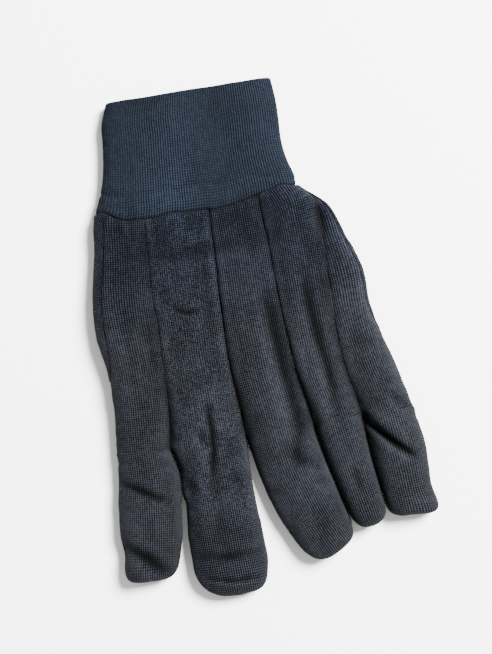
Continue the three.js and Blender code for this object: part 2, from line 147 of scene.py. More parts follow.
# A column of a table at shares between its rows, on a smooth curve through them
def column(rows, name, at):
    xs = np.array(rows["at"])
    ys = np.array(rows[name])
    at = np.asarray(at, float)
    slopes = np.empty(len(xs))
    slopes[1:-1] = (ys[2:] - ys[:-2]) / (xs[2:] - xs[:-2])
    slopes[0] = (ys[1] - ys[0]) / (xs[1] - xs[0])
    slopes[-1] = (ys[-1] - ys[-2]) / (xs[-1] - xs[-2])
    i = np.clip(np.searchsorted(xs, at, side="left") - 1, 0, len(xs) - 2)
    span = xs[i + 1] - xs[i]
    t = np.clip((at - xs[i]) / span, 0, 1)
    t2, t3 = t * t, t * t * t
    held = ys[i] * (2 * t3 - 3 * t2 + 1) + ys[i + 1] * (3 * t2 - 2 * t3)
    return held + span * (slopes[i] * (t3 - 2 * t2 + t) + slopes[i + 1] * (t3 - t2))


def smooth_step(x, low, high):
    t = np.clip((x - low) / (high - low), 0, 1)
    return t * t * (3 - 2 * t)


# X of the six lines beside and between the strips at a share down the hand
def strip_edges(at):
    w = [d["width"] * np.maximum(column(HAND_ROWS, d["name"], at), 0) for d in DIGITS]
    axis = column(HAND_ROWS, "sway", at) * DIGITS[1]["width"]
    edges = [axis - w[1] - w[0], axis - w[1], axis]
    for width in w[MIDDLE:]:
        edges.append(edges[-1] + width)
    return edges


def overlap(edges, k, at):
    if k not in INNER_LINES:
        return 0.0
    narrower = min(edges[k] - edges[k - 1], edges[k + 1] - edges[k])
    return float(column(HAND_ROWS, "tuck", at)) * narrower / 2


def hand_height(at):
    return float(column(HAND_ROWS, "height", at)) * HAND_HEIGHT


# Points and directions of a finger's centre line at shares from the fork to the tip
def finger_line(i, share):
    d = DIGITS[i]
    edges = strip_edges(1.0)
    root = np.array([(edges[i] + edges[i + 1]) / 2, -HAND_LENGTH])

    def step(angle, distance):
        a = math.radians(angle)
        return root + distance * np.array([math.sin(a), -math.cos(a)])

    bend, end = step(d["start"], d["length"] / 2), step(d["lean"], d["length"])
    t = np.asarray(share, float)[..., None]
    place = (1 - t) ** 2 * root + 2 * t * (1 - t) * bend + t * t * end
    along = 2 * (1 - t) * (bend - root) + 2 * t * (end - bend)
    return place, along / np.linalg.norm(along, axis=-1, keepdims=True)


# One cross-section of a tube as points: the arch over from the thumb's side, then the flat sole
def cross_section(x, y, heading, left, right, height, power, round_off=1.0, sides=TUBE_SIDES):
    angle = np.linspace(0, 2 * math.pi, sides, endpoint=False)
    c, s = np.cos(angle), np.sin(angle)
    p = np.where(s >= 0, power, SOLE_POWER)
    across = np.sign(c) * np.abs(c) ** (2 / p)
    up = np.sign(s) * np.abs(s) ** (2 / p)
    equator = EQUATOR * height
    u = across * np.where(across < 0, left, right)
    z = equator + up * round_off * np.where(s >= 0, height - equator, equator)
    return np.stack([x + u * math.cos(heading), y + u * math.sin(heading), z], axis=1)


def held_apart(y):
    return APART * smooth_step(-y, HAND_LENGTH, HAND_LENGTH + APART_REACH)


# A digit's arch down the hand
def strip_rings(i):
    thumb = DIGITS[i]["name"] == "thumb"
    first = THUMB_START if thumb else TUBE_START
    rings = []
    for at in np.linspace(first, 1.0, HAND_STATIONS):
        share = max(at, 0.0)
        edges = strip_edges(share)
        half = (edges[i + 1] - edges[i]) / 2
        grown = min((at - first) / THUMB_RISE, 1.0) if thumb else 1.0
        rise = THUMB_START_HEIGHT + (1 - THUMB_START_HEIGHT) * grown
        rings.append(cross_section(
            (edges[i] + edges[i + 1]) / 2, -at * HAND_LENGTH, 0.0,
            half + overlap(edges, i, share), half + overlap(edges, i + 1, share),
            hand_height(share) * rise,
            HAND_ARCH_POWER + (ARCH_POWER - HAND_ARCH_POWER) * share,
        ))
    return rings


# The same digit from the fork to its tip
def finger_rings(i):
    d = DIGITS[i]
    reach = TIP_SHARE * d["width"]
    straight = 1 - reach / d["length"]
    shares = list(straight * np.arange(1, FINGER_STATIONS + 1) / FINGER_STATIONS)
    turns = np.arange(1, TIP_STATIONS + 1) / TIP_STATIONS * TIP_TURN
    shares += list(straight + (1 - straight) * np.sin(turns))
    rings = []
    for share in shares:
        place, along = finger_line(i, share)
        half = (d["width"] * float(column(FINGER_ROWS, d["name"], share)) - FINGER_GAP) / 2
        t = min(max(1 - (1 - share) * d["length"] / reach, 0), 1)
        round_off = max(1 - t ** d["blunt"], 0) ** (1 / d["blunt"])
        settled = min(share / SETTLE_SHARE, 1.0)
        height = hand_height(1.0) * (1 - settled) + FINGER_HEIGHT * settled
        rings.append(cross_section(
            place[0], place[1], math.atan2(along[0], -along[1]),
            half * round_off, half * round_off, height, ARCH_POWER, round_off,
        ))
    return rings


def digit_rings(i):
    rings = strip_rings(i) + finger_rings(i)
    for points in rings:
        points[:, 0] += (i - MIDDLE) * held_apart(points[:, 1])
    return rings


def body_rings():
    rings = []
    for at in np.linspace(TUBE_START, BODY_END, HAND_STATIONS):
        share = max(at, 0.0)
        edges = strip_edges(share)
        half = (edges[-1] - edges[0]) / 2 - BODY_INSET
        rings.append(cross_section(
            (edges[0] + edges[-1]) / 2, -at * HAND_LENGTH, 0.0, half, half,
            hand_height(share) * float(column(HAND_ROWS, "body", share)),
            BODY_POWER, sides=2 * TUBE_SIDES,
        ))
    return rings


# A closed surface through rings, as points and faces
def loft(rings):
    n, m = len(rings[0]), len(rings)
    points = np.concatenate(rings + [rings[0].mean(0)[None], rings[-1].mean(0)[None]])
    faces = []
    for k in range(n):
        after = (k + 1) % n
        faces.append((n * m, after, k))
        faces.append((n * m + 1, n * (m - 1) + k, n * (m - 1) + after))
        for r in range(m - 1):
            faces.append((r * n + k, r * n + after, (r + 1) * n + after, (r + 1) * n + k))
    return points, faces


def add_object(name, data):
    obj = bpy.data.objects.new(name, data)
    bpy.context.scene.collection.objects.link(obj)
    return obj


# The hand and its digits as one closed surface of even quads
def hand_surface():
    points, faces, start = [], [], 0
    for rings in [digit_rings(i) for i in range(len(DIGITS))] + [body_rings()]:
        p, f = loft(rings)
        points.append(p)
        faces += [tuple(start + c for c in face) for face in f]
        start += len(p)
    mesh = bpy.data.meshes.new("tubes")
    mesh.from_pydata(np.concatenate(points).tolist(), [], faces)
    tubes = add_object("tubes", mesh)
    remesh = tubes.modifiers.new("even", "REMESH")
    remesh.mode = "VOXEL"
    remesh.voxel_size = VOXEL
    evaluated = tubes.evaluated_get(bpy.context.evaluated_depsgraph_get())
    even = bpy.data.meshes.new_from_object(evaluated)
    co = np.empty(len(even.vertices) * 3, np.float32)
    even.vertices.foreach_get("co", co)
    quads = np.empty(len(even.loops), np.int32)
    even.loops.foreach_get("vertex_index", quads)
    bpy.data.objects.remove(tubes)
    return co.reshape(-1, 3).astype(float), quads.reshape(-1, 4)


# The sum of the vectors that each point is given
def spread(index, values, count):
    return np.stack([np.bincount(index, values[:, k], count) for k in range(3)], axis=1)


def sides_of(quads):
    return np.concatenate([quads[:, [k, (k + 1) % 4]] for k in range(4)])


def edges_of(quads):
    return np.unique(np.sort(sides_of(quads), axis=1), axis=0)


# Moves each point towards the middle of its neighbours
def smoothed(co, edges, rounds, strength=0.5):
    count = len(co)
    a, b = edges[:, 0], edges[:, 1]
    number = np.bincount(a, minlength=count) + np.bincount(b, minlength=count)
    number = np.maximum(number, 1)[:, None]
    for _ in range(rounds):
        middle = (spread(a, co[b], count) + spread(b, co[a], count)) / number
        co = co + strength * (middle - co)
    return co


def normals_of(co, quads):
    d1 = co[quads[:, 2]] - co[quads[:, 0]]
    d2 = co[quads[:, 3]] - co[quads[:, 1]]
    face = np.cross(d1, d2)
    total = sum(spread(quads[:, k], face, len(co)) for k in range(4))
    return total / np.maximum(np.linalg.norm(total, axis=1, keepdims=True), 1e-9)


# Smooth random heights between -1 and 1 over a plane, one hill to about every two units. They come
# back after FIELD units.
FIELD = 61


def unevenness(x, y, seed):
    grid = np.random.RandomState(seed).uniform(-1, 1, (FIELD, FIELD))
    i, j = np.floor(x).astype(int), np.floor(y).astype(int)
    fx, fy = x - i, y - j
    fx = fx * fx * fx * (fx * (fx * 6 - 15) + 10)
    fy = fy * fy * fy * (fy * (fy * 6 - 15) + 10)
    i, j, i_after, j_after = i % FIELD, j % FIELD, (i + 1) % FIELD, (j + 1) % FIELD
    low = grid[i, j] * (1 - fx) + grid[i_after, j] * fx
    high = grid[i, j_after] * (1 - fx) + grid[i_after, j_after] * fx
    return low * (1 - fy) + high * fy


# One kind of waves in the cloth: their height, about half their length along X and Y, where they
# start in the random heights, and the seed
def waves(x, y, kind):
    height, (length_x, length_y), (start_x, start_y), seed = kind
    return height * unevenness(x / length_x + start_x, y / length_y + start_y, seed)


# The lines between the strips as X at each step of Y, for the hand and beyond it between the fingers
LINE_TOP = 6.0
LINE_END = -216.0
LINE_STEP = 0.5
LINE_YS = np.arange(LINE_TOP, LINE_END, -LINE_STEP)
EDGE_SAMPLES = 60


# One edge of a strip: the side is -1 for the little finger's and 1 for the thumb's
def edge_xs(i, side):
    hand = strip_edges(np.clip(-LINE_YS / HAND_LENGTH, 0, 1))[i if side < 0 else i + 1]
    shares = np.linspace(0, 1, EDGE_SAMPLES)
    place, along = finger_line(i, shares)
    half = DIGITS[i]["width"] * column(FINGER_ROWS, DIGITS[i]["name"], shares) / 2
    edge = place + np.stack([-along[:, 1], along[:, 0]], axis=1) * (side * half)[:, None]
    finger = np.interp(-LINE_YS, -edge[:, 1], edge[:, 0])
    return np.where(LINE_YS >= -HAND_LENGTH, hand, finger)


def dividing_xs():
    drop = smooth_step(-LINE_YS / HAND_LENGTH, SEAM_DROP_START, SEAM_DROP_END)

    def inset(start):
        return start + (-SEAM_DROP_OUT - start) * drop

    thumb_seam = edge_xs(PALM - 1, 1) - inset(THUMB_SEAM_INSET)
    lines = [edge_xs(0, -1) + inset(LITTLE_SEAM_INSET)]
    for k in INNER_LINES:
        lines.append(np.minimum((edge_xs(k - 1, 1) + edge_xs(k, -1)) / 2, thumb_seam))
    return lines + [thumb_seam]


DIVIDING = dividing_xs()


def line_x(k, y):
    return np.interp(-y, -LINE_YS, DIVIDING[k])


# How far a place is from the nearest line between two strips
def beside_lines(x, y):
    return np.min([np.abs(x - line_x(k, y)) for k in INNER_LINES], axis=0)


# Each strip's centre line as points, from above the wrist to past the tip
CENTRE_HAND_SAMPLES = 40
CENTRE_FINGER_SAMPLES = 26
PAST_WRIST = 8.0
PAST_TIP = 12.0


def centre_points(i):
    at = np.linspace(0, 1, CENTRE_HAND_SAMPLES)[:-1]
    edges = strip_edges(at)
    hand = np.stack([(edges[i] + edges[i + 1]) / 2, -at * HAND_LENGTH], axis=1)
    finger, along = finger_line(i, np.linspace(0, 1, CENTRE_FINGER_SAMPLES))
    start = hand[:1] + [[0, PAST_WRIST]]
    end = finger[-1:] + along[-1:] * PAST_TIP
    return np.concatenate([start, hand, finger, end])


# The slit between neighbouring digits: they touch past the fork as far as TOUCH_END, then part to
# a slit as wide as PARTED, and from SLIT_END on their own outlines decide
TOUCH_END = {1: 147.0, 2: 128.0, 3: 174.0, 4: 158.0}
PARTED = {1: 2.6, 2: 1.5, 3: 1.0, 4: 1.0}
SLIT_END = {1: 174.0, 2: 136.0, 3: 182.0, 4: 166.0}
SLIT_START_FADE = 4.0
SLIT_FADE = 7.0
SLIT_REACH = 9.0
SLITS = {k: edge_xs(k, -1) - edge_xs(k - 1, 1) + FINGER_GAP for k in INNER_LINES}


def closing(x, y, digit):
    move = np.zeros(len(x))
    for k in INNER_LINES:
        wanted = PARTED[k] * smooth_step(-y, TOUCH_END[k], TOUCH_END[k] + SLIT_FADE)
        slit = np.interp(-y, -LINE_YS, SLITS[k]) - wanted
        share = smooth_step(-y, HAND_LENGTH, HAND_LENGTH + SLIT_START_FADE)
        share = share * (1 - smooth_step(-y, SLIT_END[k] - SLIT_FADE, SLIT_END[k]))
        near = np.exp(-(((x - line_x(k, y)) / SLIT_REACH) ** 2)) * share * slit / 2
        move += np.where(digit == k, -near, 0) + np.where(digit == k - 1, near, 0)
    return move


# Where the webs between the digits are smoothed once more, and how much: before the folds are
# pressed in, and after them
WEB_WIDTH = 2.2
WEB_FROM = (115.0, 118.0)
WEB_TO = (133.0, 138.0)
WEB_ROUNDS = 20
FORK_ROUNDS = 6


def web_share(x, y):
    across = np.exp(-((beside_lines(x, y) / WEB_WIDTH) ** 2))
    return across * smooth_step(-y, *WEB_FROM) * (1 - smooth_step(-y, *WEB_TO))


# Small pulls on the outline, as lying cloth has: centre, reach along X and Y, and move
PULLS = [
    ((-63.0, -38.0), (14.0, 28.0), (-1.9, 0.0)),
    ((-57.0, 0.0), (9.0, 11.0), (-2.4, 0.0)),
    ((45.6, 1.0), (9.0, 11.0), (1.7, 0.3)),
    ((-71.5, -173.5), (6.0, 6.0), (1.6, 0.0)),
    ((-72.0, -184.0), (8.0, 8.0), (-0.6, -3.6)),
    ((-60.0, -186.0), (10.0, 7.0), (0.0, -1.6)),
    ((-17.0, -200.0), (17.0, 9.0), (0.0, -1.8)),
    ((-3.5, -199.0), (6.0, 8.0), (1.2, -1.8)),
    ((88.5, -173.5), (7.5, 8.0), (3.6, -2.4)),
    ((89.0, -141.0), (11.0, 20.0), (1.9, 0.0)),
    ((71.0, -47.0), (13.0, 20.0), (3.2, 0.6)),
    ((61.0, -17.0), (11.0, 13.0), (1.6, 1.6)),
    ((-37.0, -123.0), (7.0, 9.0), (-1.7, 0.0)),
    ((-34.0, -136.0), (7.0, 7.0), (0.9, 0.0)),
]


def pulled(x, y):
    moves = np.zeros((2, len(x)))
    for (cx, cy), (rx, ry), (mx, my) in PULLS:
        near = np.exp(-(((x - cx) / rx) ** 2) - ((y - cy) / ry) ** 2)
        moves += near * np.array([[mx], [my]])
    return x + moves[0], y + moves[1]


# How far the back of the hand is flattened: each strip's arch rises to one low arch over all. It
# fades towards the fingers, and towards the hand's sides as shares of its half width.
FLAT_SHARE = 0.8
FLAT_BELOW = 0.5
FLAT_POWER = 4.5
FLAT_FADE = (62.0, 116.0)
FLAT_SIDE_FADE = (0.8, 0.95)


def flattened(x, y, z):
    at = np.clip(-y / HAND_LENGTH, 0, 1)
    edges = strip_edges(at)
    half = (edges[-1] - edges[0]) / 2
    u = np.abs(x - (edges[0] + edges[-1]) / 2) / half
    height = column(HAND_ROWS, "height", at) * HAND_HEIGHT
    round_off = np.maximum(1 - u ** FLAT_POWER, 0) ** (1 / FLAT_POWER)
    arch = height * (EQUATOR + (1 - EQUATOR) * round_off)
    share = FLAT_SHARE * (1 - smooth_step(-y, *FLAT_FADE)) * (1 - smooth_step(u, *FLAT_SIDE_FADE))
    return share * np.maximum(arch - FLAT_BELOW - z, 0)


# Places by a line of points: how far to its side, how far along it, and how far away
def along_line(points, x, y):
    best = np.full(len(x), np.inf)
    u, v = np.zeros(len(x)), np.zeros(len(x))
    run = 0.0
    for a, b in zip(points[:-1], points[1:]):
        length = math.hypot(*(b - a))
        t = (b - a) / length
        dx, dy = x - a[0], y - a[1]
        s = np.clip(dx * t[0] + dy * t[1], 0, length)
        away = np.hypot(dx - s * t[0], dy - s * t[1])
        near = away < best
        best = np.where(near, away, best)
        u = np.where(near, dx * -t[1] + dy * t[0], u)
        v = np.where(near, run + s, v)
        run += length
    return u, v, best


# A dent or ridge along a line of points: depth at its middle, fading across its width and towards
# its ends. A low power makes it a sharp crease.
FOLD_TAPER = 0.8
FOLD_END = 0.04


def fold(x, y, points, width, depth, power):
    _, v, away = along_line(np.array(points, float), x, y)
    run = sum(math.dist(a, b) for a, b in zip(points[:-1], points[1:]))
    taper = np.sin(np.clip(v / run, 0, 1) * math.pi) ** FOLD_TAPER
    return depth * (FOLD_END + (1 - FOLD_END) * taper) * np.exp(-((away / width) ** power))


# Folds and dents in the back, in the glove's own frame: points, width, depth below (-) or above,
# and how sharp
FOLDS = [
    # Little finger: a crease across it and the fold before its tip
    ([(-69.5, -135.5), (-61.4, -139.2), (-55.3, -142.8), (-49.7, -146.2), (-41.5, -150.1)], 2.2, -2.1, 1.5),
    ([(-66.0, -129.0), (-50.0, -138.0)], 5.0, 0.7, 2.0),
    ([(-63.0, -150.0), (-48.0, -158.0)], 6.0, 0.6, 2.0),
    ([(-80.0, -164.0), (-73.0, -168.0), (-64.1, -172.2), (-57.2, -177.4), (-43.0, -191.0)], 3.4, -3.0, 2.0),
    ([(-68.0, -180.0), (-58.0, -186.0)], 4.0, 1.2, 2.0),
    ([(-74.0, -120.0), (-72.5, -150.0), (-72.0, -164.0)], 3.5, -1.2, 2.0),
    # Ring finger: a lengthwise dent, the bands before its tip and the seam across the tip
    ([(-16.4, -101.0), (-15.9, -122.2), (-19.0, -142.0)], 2.0, -1.9, 1.5),
    ([(-22.3, -114.3), (-18.9, -126.4)], 2.2, -1.0, 2.0),
    ([(-33.8, -138.0), (-30.5, -145.8), (-30.7, -152.0)], 3.0, -1.4, 2.0),
    ([(-36.0, -179.5), (-18.0, -182.0), (0.5, -181.3)], 2.6, -1.3, 2.0),
    ([(-34.0, -190.5), (-16.0, -193.5), (1.0, -192.5)], 1.1, -0.7, 2.0),
    ([(-34.0, -192.5), (-16.0, -195.8), (1.0, -195.0)], 1.0, 1.3, 2.0),
    ([(-25.7, -50.2), (-23.3, -54.7), (-17.5, -56.7), (-12.1, -55.5)], 1.6, -1.1, 1.5),
    # Middle finger: the long valley down its strip, and the dents past it
    ([(21.5, -50.0), (24.7, -92.7), (26.8, -108.5), (28.0, -121.6), (25.0, -145.0)], 4.4, -3.9, 2.0),
    ([(19.1, -127.8), (26.0, -139.2), (37.9, -145.2)], 4.0, -1.5, 2.0),
    ([(12.0, -112.0), (16.0, -135.0)], 6.0, 0.8, 2.0),
    ([(30.0, -150.0), (40.0, -152.0)], 2.6, -0.8, 2.0),
    ([(33.0, -62.0), (34.2, -90.0), (34.6, -110.0)], 3.2, 1.0, 2.0),
    # Index finger: the valley down its strip and the shoulders beside it
    ([(41.0, -36.0), (43.9, -75.2), (46.5, -91.0), (48.2, -106.7), (49.5, -130.0)], 3.4, -2.4, 2.0),
    ([(40.6, -106.0), (42.0, -130.0)], 3.2, 1.0, 2.0),
    ([(57.0, -70.0), (57.7, -95.0), (58.2, -116.0)], 3.6, 1.0, 2.0),
    ([(51.3, -146.0), (54.8, -161.0)], 2.6, -0.9, 2.0),
    # Thumb: the sharp crease out of the fork, the cloth that hangs over it, and dents by the seam
    ([(58.5, -119.5), (62.7, -125.2), (68.3, -131.4), (74.9, -138.6), (83.0, -146.6)], 1.75, -4.9, 1.6),
    ([(64.5, -119.0), (73.5, -128.5), (81.5, -137.0)], 4.2, 1.2, 2.0),
    ([(66.0, -134.0), (72.0, -142.0), (80.0, -149.0)], 3.0, 0.7, 2.0),
    ([(75.0, -112.0), (86.5, -123.5)], 3.0, -1.4, 2.0),
    ([(52.6, -12.0), (54.2, -20.0), (55.7, -31.0)], 2.6, -2.1, 2.0),
    ([(50.5, -4.0), (53.0, -8.0), (57.0, -10.5)], 1.1, -1.0, 1.5),
    ([(62.0, -22.0), (66.0, -33.0), (71.0, -45.0)], 1.6, -1.3, 1.5),
    # Across the hand below the cuff
    ([(-54.0, -22.0), (-20.0, -27.0), (20.0, -25.0), (48.0, -21.0)], 4.5, -0.9, 2.0),
]

# The puckered knob of cloth by the index finger's tip
KNOB = (65.2, -164.5)
KNOB_SIZE = 4.2
KNOB_HEIGHT = 1.3
KNOB_PUCKERS = 9
KNOB_PUCKER_SHARE = 0.12

# The back's waves, from the broad ones to the small ones
BACK_WAVES = [
    (0.6, (19.0, 30.0), (3.3, 1.7), 11),
    (0.45, (8.0, 34.0), (5.1, 2.2), 12),
    (0.22, (7.0, 9.0), (0.0, 3.2), 14),
    (0.1, (3.6, 4.8), (0.0, 0.0), 13),
]


def back_relief(x, y):
    total = np.zeros(len(x))
    for points, width, depth, power in FOLDS:
        total += fold(x, y, points, width, depth, power)
    away = np.hypot(x - KNOB[0], y - KNOB[1])
    turn = np.arctan2(y - KNOB[1], x - KNOB[0])
    puckers = 1 + KNOB_PUCKER_SHARE * np.cos(KNOB_PUCKERS * turn)
    total += KNOB_HEIGHT * np.exp(-((away / KNOB_SIZE) ** 2)) * puckers
    for kind in BACK_WAVES:
        total += waves(x, y, kind)
    return total


# The six lines beside and between the strips, from the little finger's side. Their grooves' depths
# and half-widths, how far the cloth edges stand back and sink, the height that the seam's turned-in
# cloth gives the flat of the hand, and how far the next strip dips under the last one past them,
# between which places.
SEAM_DEPTH = [0.4, 0.35, 0.7, 0.6, 0.35, 0.7]
SEAM_WIDTH = [1.3, 1.4, 1.1, 1.1, 1.4, 1.3]
SEAM_BACK = [0.06, 0.04, 0.18, 0.14, 0.05, 0.1]
SEAM_SINK = [0.2, 0.12, 0.3, 0.28, 0.12, 0.35]
SEAM_FILL = [0.0, 0.5, 0.3, 0.4, 0.5, 0.0]
SEAM_DIP = [0.0, 0.9, 0.8, 0.8, 1.7, 0.0]
SEAM_DIP_FROM = [0.0, 98.0, 30.0, 92.0, 112.0, 0.0]
SEAM_DIP_TO = [0.0, 158.0, 178.0, 176.0, 168.0, 0.0]
FILL_WIDTH = 5.5
FILL_START = (2.0, 16.0)
FILL_END = (88.0, 118.0)
DIP_WIDTH = 3.4
DIP_EDGE = 0.7

# Small puckers along the seams, which differ from seam to seam and from side to side
PUCKER_HEIGHT = 0.3
PUCKER_REACH = 4.0
PUCKER_LENGTH = 4.0
PUCKER_SHIFT = 7.7
PUCKER_SIDE = 2.5
PUCKER_START = 9
PUCKER_SEED = 20


def seam_relief(x, y):
    total = np.zeros(len(x))
    flat = smooth_step(-y, *FILL_START) * (1 - smooth_step(-y, *FILL_END))
    for k in LINES:
        past = x - line_x(k, y)
        away = np.abs(past)
        total -= SEAM_DEPTH[k] * np.exp(-((away / SEAM_WIDTH[k]) ** 2))
        total += SEAM_FILL[k] * flat * np.exp(-((away / FILL_WIDTH) ** 2))
        if SEAM_DIP[k]:
            share = np.clip((-y - SEAM_DIP_FROM[k]) / (SEAM_DIP_TO[k] - SEAM_DIP_FROM[k]), 0, 1)
            under = np.exp(-((past / np.where(past > 0, DIP_WIDTH, DIP_EDGE)) ** 2))
            total -= SEAM_DIP[k] * np.sin(share * math.pi) * under
        along = y / PUCKER_LENGTH + PUCKER_SHIFT * k
        wave = unevenness(along, np.sign(past) * PUCKER_SIDE + PUCKER_START, PUCKER_SEED + k)
        total += PUCKER_HEIGHT * wave * np.exp(-away / PUCKER_REACH)
    return total


# The cuff seam's line as Y at each X: it sags over the middle of the back, bumps up by the little
# finger's side and waves a little. Beside it the hand is puckered, and a groove marks it.
WRIST_WAVES = (0.7, (8.0, 1.0), (4.4, 3.5), 31)
WRIST_SAG = 5.4
WRIST_SAG_START = (-54.0, -41.0)
WRIST_SAG_END = (8.0, 40.0)
WRIST_BUMP = 1.4
WRIST_BUMP_X = -52.0
WRIST_BUMP_WIDTH = 3.5
WRIST_PUCKERS = (0.5, (3.1, 16.0), (0.0, 6.5), 32)
WRIST_REACH = 7.0
WRIST_DEPTH = 0.9
WRIST_WIDTH = 1.3


def wrist_y(x):
    sag = WRIST_SAG * smooth_step(x, *WRIST_SAG_START) * (1 - smooth_step(x, *WRIST_SAG_END))
    bump = WRIST_BUMP * np.exp(-(((x - WRIST_BUMP_X) / WRIST_BUMP_WIDTH) ** 2))
    return waves(x, 0.0, WRIST_WAVES) + bump - sag


def wrist_relief(x, y):
    away = np.maximum(wrist_y(x) - y, 0)
    groove = WRIST_DEPTH * np.exp(-((away / WRIST_WIDTH) ** 2))
    return waves(x, y, WRIST_PUCKERS) * np.exp(-away / WRIST_REACH) - groove


FLOOR_GAP = 0.02


# A mesh object in the CAD's frame from points in millimetres, with its knit coordinates
def make_piece(name, points, faces, knit, material, node):
    mesh = bpy.data.meshes.new(name)
    points = np.stack([points[:, 0], points[:, 1], np.maximum(points[:, 2], FLOOR_GAP)], axis=1)
    placed = (points + [GLOVE_X, GLOVE_Y, 0.0]) * MM
    mesh.from_pydata(placed.tolist(), [], [tuple(f) for f in faces])
    attribute = mesh.attributes.new("knit", "FLOAT_VECTOR", "POINT")
    attribute.data.foreach_set("vector", knit.astype(np.float32).ravel())
    mesh.shade_smooth()
    mesh.materials.append(material)
    obj = add_object(name, mesh)
    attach(obj, "root")
    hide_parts(node)


# A cloth patch as a closed shell: the patch, the same moved in by the cloth's thickness, and a rim.
# The patch's edge first stands back and sinks by what is given for each point.
def shell(co, normals, quads, knit, back, sink):
    used, index = np.unique(quads, return_inverse=True)
    quads = index.reshape(-1, 4)
    co, normals, knit, back, sink = co[used], normals[used], knit[used], back[used], sink[used]
    sides = sides_of(quads)
    key = np.sort(sides, axis=1)
    _, first, number = np.unique(key, axis=0, return_index=True, return_counts=True)
    rim = sides[first[number == 1]]
    count = len(co)
    out = np.cross(co[rim[:, 1]] - co[rim[:, 0]], normals[rim[:, 0]])
    out = spread(rim[:, 0], out, count) + spread(rim[:, 1], out, count)
    size = np.linalg.norm(out, axis=1, keepdims=True)
    at_rim = size[:, 0] > 0
    co[at_rim] -= back[at_rim, None] * out[at_rim] / size[at_rim] + sink[at_rim, None] * normals[at_rim]
    inner = co - normals * CLOTH_WALL
    rims = np.stack([rim[:, 1], rim[:, 0], rim[:, 0] + count, rim[:, 1] + count], axis=1)
    faces = np.concatenate([quads, quads[:, ::-1] + count, rims])
    return np.concatenate([co, inner]), faces, np.concatenate([knit, knit])


# Knit coordinates in millimetres on a back strip: across it and along its centre line. Where the
# strip falls away to its sides, the fall counts as width. The third one is how far the cloth is
# raised over its surroundings.
def strip_knit(i, co, raised):
    u, v, _ = along_line(centre_points(i), co[:, 0], co[:, 1])
    half = DIGITS[i]["width"] / 2
    fall = np.maximum(HAND_HEIGHT - co[:, 2], 0)
    u = u + np.clip(u / half, -1, 1) ** 3 * fall
    return np.stack([u, v, raised], axis=1)


# On the palm the wales run straight down the glove, the walls unroll outwards from the sole, and
# what wraps onto the back unrolls further
WALL_LEVEL = 0.3


def palm_knit(co, normals, raised):
    level = np.hypot(normals[:, 0], normals[:, 1])
    outward = normals[:, :2] / np.maximum(level, WALL_LEVEL)[:, None]
    flat = co[:, :2] + outward * co[:, 2:3]
    edges = strip_edges(np.clip(-co[:, 1] / HAND_LENGTH, 0, 1))
    left = 2 * edges[0] - co[:, 0] - co[:, 2]
    right = 2 * edges[-1] - co[:, 0] + co[:, 2]
    wraps = (co[:, 2] > SPLIT_HEIGHT) & (-co[:, 1] < HAND_LENGTH * SEAM_DROP_END)
    u = np.where(wraps, np.where(co[:, 0] < edges[MIDDLE], left, right), flat[:, 0])
    return np.stack([u, -np.where(wraps, co[:, 1], flat[:, 1]), raised], axis=1)


class Nodes:
    """A short way to write a material's nodes."""

    def __init__(self, name):
        self.material = bpy.data.materials.new(name)
        self.material.use_nodes = True
        self.tree = self.material.node_tree
        self.shader = self.tree.nodes["Principled BSDF"]

    def link(self, value, socket):
        if isinstance(value, bpy.types.NodeSocket):
            self.tree.links.new(value, socket)
        else:
            socket.default_value = value

    # A node with its inputs linked, by their numbers or names
    def node(self, kind, inputs):
        node = self.tree.nodes.new(kind)
        for key, value in inputs.items():
            self.link(value, node.inputs[key])
        return node

    def maths(self, operation, *values):
        node = self.node("ShaderNodeMath", dict(enumerate(values)))
        node.operation = operation
        return node.outputs[0]

    def add(self, a, b):
        return self.maths("ADD", a, b)

    def times(self, a, b):
        return self.maths("MULTIPLY", a, b)

    def noise(self, vector, scale, detail=2.0, rough=0.5):
        inputs = {"Vector": vector, "Scale": scale, "Detail": detail, "Roughness": rough}
        return self.node("ShaderNodeTexNoise", inputs).outputs["Fac"]

    def cells(self, vector, scale):
        node = self.node("ShaderNodeTexVoronoi", {"Vector": vector, "Scale": scale})
        return node.outputs["Distance"]

    def joined(self, x, y, z=0.0):
        return self.node("ShaderNodeCombineXYZ", {0: x, 1: y, 2: z}).outputs[0]

    def random(self, x, y):
        node = self.node("ShaderNodeTexWhiteNoise", {"Vector": self.joined(x, y)})
        node.noise_dimensions = "2D"
        return node.outputs["Value"]

    def ramp(self, value, low, high, to_low, to_high):
        inputs = {"Value": value, "From Min": low, "From Max": high, "To Min": to_low, "To Max": to_high}
        return self.node("ShaderNodeMapRange", inputs).outputs[0]

    def tinted(self, colour, parts):
        node = self.node("ShaderNodeVectorMath", {0: colour, 1: self.joined(*parts)})
        node.operation = "MULTIPLY"
        return node.outputs[0]

    def colours(self, value, stops):
        node = self.node("ShaderNodeValToRGB", {0: value})
        elements = node.color_ramp.elements
        while len(elements) < len(stops):
            elements.new(0.5)
        for element, (place, colour) in zip(elements, stops):
            element.position = place
            element.color = (*colour, 1.0)
        return node.outputs[0]


# The stitches of knitted cotton: their width and height in millimetres, and how far the wales
# wander. Across a wale, 0 is its middle and 0.5 its side: the yarn's two legs rise over LEG_RISE,
# part in a groove at the middle, and lean. ROW_LOW is the height that is left between two rows.
WALE = 1.18
COURSE = 1.15
WANDER = 0.5
WANDER_SCALE = 210.0
LEG_RISE = (0.4, 0.14)
GROOVE_WIDTH = 0.08
GROOVE_DEPTH = 0.2
LEG_LEAN = 0.8
ROW_RISE = (-1.0, 0.5)
ROW_LOW = 0.3

